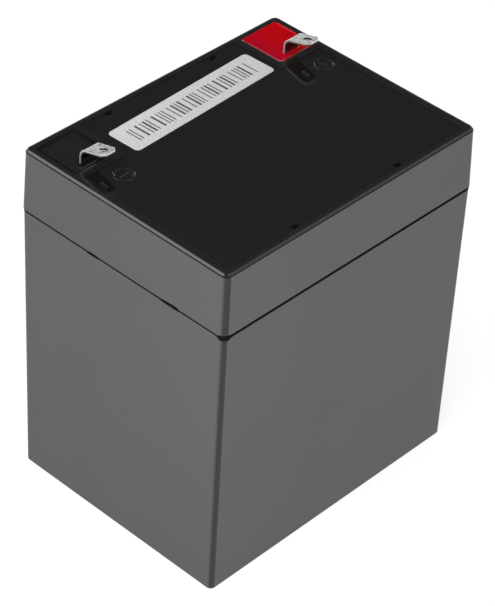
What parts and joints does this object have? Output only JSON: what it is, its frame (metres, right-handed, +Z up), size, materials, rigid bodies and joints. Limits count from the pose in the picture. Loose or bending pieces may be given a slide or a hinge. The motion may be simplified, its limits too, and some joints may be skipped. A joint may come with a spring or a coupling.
{
  "type": "sealed lead acid battery",
  "caption": "Upright sealed battery block with a grey case, glossy black top, corner wells filled with red and black resin, and bent push-on tabs.",
  "frame": {"origin": "middle of the container's underside", "axes": "+Z up, X along the long side with the positive tab at +X, both tabs near the +Y side"},
  "size_m": [0.09, 0.07, 0.1072],
  "materials": {
    "case_plastic": "fine matt moulded",
    "cover_plastic": "polished",
    "black_resin": "poured epoxy",
    "red_resin": "poured epoxy",
    "tinned_brass": "tin plated",
    "lead": "cast",
    "positive_paste": "pasted",
    "negative_paste": "pasted",
    "glass_mat": "fibre mat",
    "black_rubber": "moulded",
    "label_paper": "paper"
  },
  "bodies": {
    "root": {"container": "case_plastic", "lid": "case_plastic", "seam_epoxy": "black_resin", "vent_cover": "cover_plastic", "label": "label_paper", "positive_tab": "tinned_brass", "negative_tab": "tinned_brass", "positive_fill": "red_resin", "negative_fill": "black_resin", "positive_post": "lead", "negative_post": "lead", "positive_post_ring": "black_rubber", "negative_post_ring": "black_rubber", "valve_cap_1": "black_rubber", "positive_plates_1": "positive_paste", "negative_plates_1": "negative_paste", "glass_mat_1_1": "glass_mat", "glass_mat_1_2": "glass_mat", "valve_cap_2": "black_rubber", "positive_plates_2": "positive_paste", "negative_plates_2": "negative_paste", "glass_mat_2_1": "glass_mat", "glass_mat_2_2": "glass_mat", "valve_cap_3": "black_rubber", "positive_plates_3": "positive_paste", "negative_plates_3": "negative_paste", "glass_mat_3_1": "glass_mat", "glass_mat_3_2": "glass_mat", "valve_cap_4": "black_rubber", "positive_plates_4": "positive_paste", "negative_plates_4": "negative_paste", "glass_mat_4_1": "glass_mat", "glass_mat_4_2": "glass_mat", "valve_cap_5": "black_rubber", "positive_plates_5": "positive_paste", "negative_plates_5": "negative_paste", "glass_mat_5_1": "glass_mat", "glass_mat_5_2": "glass_mat", "valve_cap_6": "black_rubber", "positive_plates_6": "positive_paste", "negative_plates_6": "negative_paste", "glass_mat_6_1": "glass_mat", "glass_mat_6_2": "glass_mat"}
  },
  "joints": []
}
